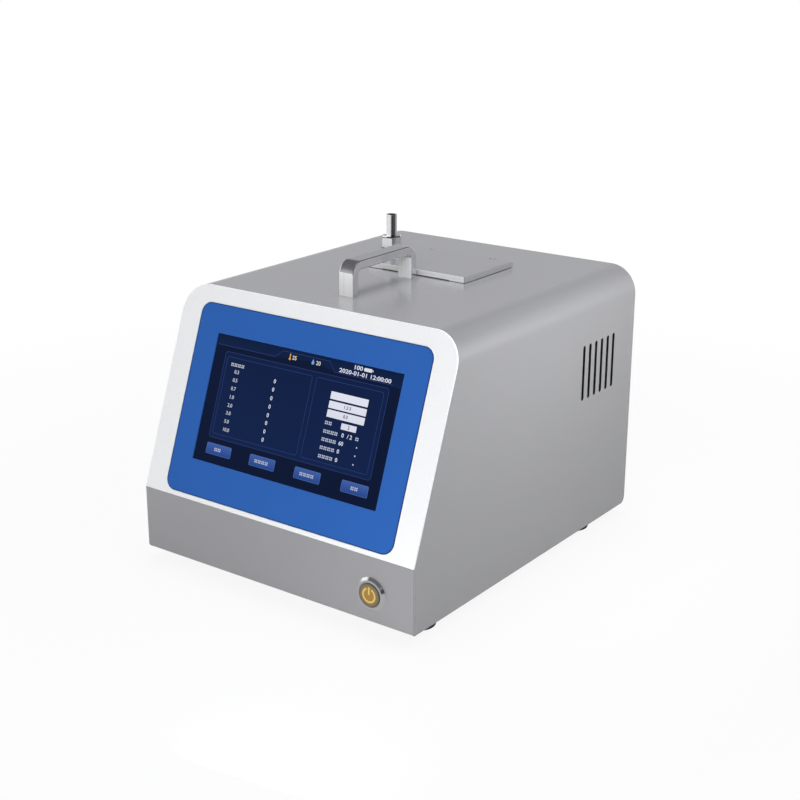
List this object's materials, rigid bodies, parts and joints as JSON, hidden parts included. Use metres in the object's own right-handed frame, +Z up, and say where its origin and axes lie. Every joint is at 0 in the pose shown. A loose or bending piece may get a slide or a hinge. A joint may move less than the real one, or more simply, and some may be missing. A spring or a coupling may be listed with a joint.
{
  "type": "airborne particle counter",
  "caption": "Bench-top airborne particle counter: folded grey housing, sloping touch screen in a white and blue front, carrying handle, sample inlet, printer lid, side vents, rubber feet",
  "frame": {"origin": "under the middle of the body, on the plane that the feet stand on", "axes": "+X to the user's right, +Y to the back, +Z up; the screen faces -Y and up"},
  "size_m": [0.226, 0.2778, 0.213],
  "materials": {
    "housing_paint": "smooth light grey powder coat, low gloss",
    "panel_paint": "smooth light grey powder coat",
    "bezel_white": "white moulded frame",
    "overlay_blue": "blue printed film, satin",
    "screen_glass": "dark touch glass over a lit display",
    "display_metal": "pressed display back",
    "strap_steel": "zinc-plated steel",
    "screw_steel": "pan-head screws, bright",
    "board_green": "green circuit board with dark chips",
    "button_chrome": "polished metal, bevelled",
    "button_metal": "brushed cap with an amber power symbol",
    "handle_metal": "brushed flat bar",
    "fitting_steel": "turned stainless steel",
    "seal_rubber": "black rubber",
    "foot_rubber": "black rubber",
    "printer_plastic": "dark moulding",
    "lid_grey": "dark grey satin lid with a polished front edge",
    "head_ceramic": "glazed heating bar",
    "fan_plastic": "black moulding",
    "socket_plastic": "black socket",
    "port_metal": "nickel-plated shell",
    "support_nylon": "natural nylon",
    "sensor_black": "black anodised block",
    "post_aluminium": "turned aluminium",
    "laser_brass": "turned brass barrel",
    "hose_rubber": "translucent silicone hose",
    "pump_plastic": "dark pump body",
    "filter_white": "white filter capsule",
    "battery_wrap": "blue shrink sleeve"
  },
  "bodies": {
    "housing": {"base_pan": "panel_paint", "base_screws": "screw_steel", "battery_pack": "battery_wrap", "battery_strap": "strap_steel", "board_supports": "support_nylon", "button_bezel": "button_chrome", "button_nut": "screw_steel", "carry_handle": "handle_metal", "charging_socket": "socket_plastic", "cover_screws": "screw_steel", "detector_board": "board_green", "display_board": "board_green", "display_module": "display_metal", "display_straps": "strap_steel", "exhaust_hose": "hose_rubber", "exhaust_nut": "screw_steel", "exhaust_port": "fitting_steel", "fan_frame": "fan_plastic", "fan_nuts": "screw_steel", "filter_clip": "strap_steel", "filter_hose": "hose_rubber", "foot_front_left": "foot_rubber", "foot_front_right": "foot_rubber", "foot_rear_left": "foot_rubber", "foot_rear_right": "foot_rubber", "foot_screws": "screw_steel", "front_bezel": "bezel_white", "handle_screws": "screw_steel", "hepa_filter": "filter_white", "housing_cover": "housing_paint", "inlet_fitting": "fitting_steel", "inlet_nut": "screw_steel", "inlet_seal": "seal_rubber", "inlet_tube": "fitting_steel", "laser_module": "laser_brass", "lid_hinge_pins": "strap_steel", "main_board": "board_green", "overlay_panel": "overlay_blue", "print_head": "head_ceramic", "print_motor": "printer_plastic", "printer_frame": "printer_plastic", "pump_hose": "hose_rubber", "rear_panel": "panel_paint", "rear_screws": "screw_steel", "sample_hose": "hose_rubber", "sensor_block": "sensor_black", "sensor_posts": "post_aluminium", "serial_port": "port_metal", "socket_nut": "screw_steel", "strap_screws": "screw_steel", "touch_glass": "screen_glass", "usb_port": "port_metal", "vacuum_pump": "pump_plastic"},
    "button": {"button_cap": "button_metal"},
    "lid": {"printer_lid": "lid_grey"},
    "platen": {"platen_roller": "seal_rubber", "platen_shaft": "strap_steel"},
    "fan_rotor": {"fan_rotor": "fan_plastic"}
  },
  "joints": [
    {"name": "button_press", "type": "slide", "parent": "housing", "child": "button", "axis": [0, 1, 0], "range_m": [0, 0.0012], "stiffness_N_per_m": 600, "springref_m": -0.0008},
    {"name": "lid_hinge", "type": "hinge", "parent": "housing", "child": "lid", "pos_m": [0.0015, 0.08, 0.1903], "axis": [-1, 0, 0], "range_deg": [0, 95]},
    {"name": "platen_spin", "type": "hinge", "parent": "lid", "child": "platen", "pos_m": [0.0015, 0.0305, 0.1793], "axis": [1, 0, 0], "continuous": true},
    {"name": "fan_spin", "type": "hinge", "parent": "housing", "child": "fan_rotor", "pos_m": [0.106, 0.0844, 0.1264], "axis": [1, 0, 0], "continuous": true}
  ]
}
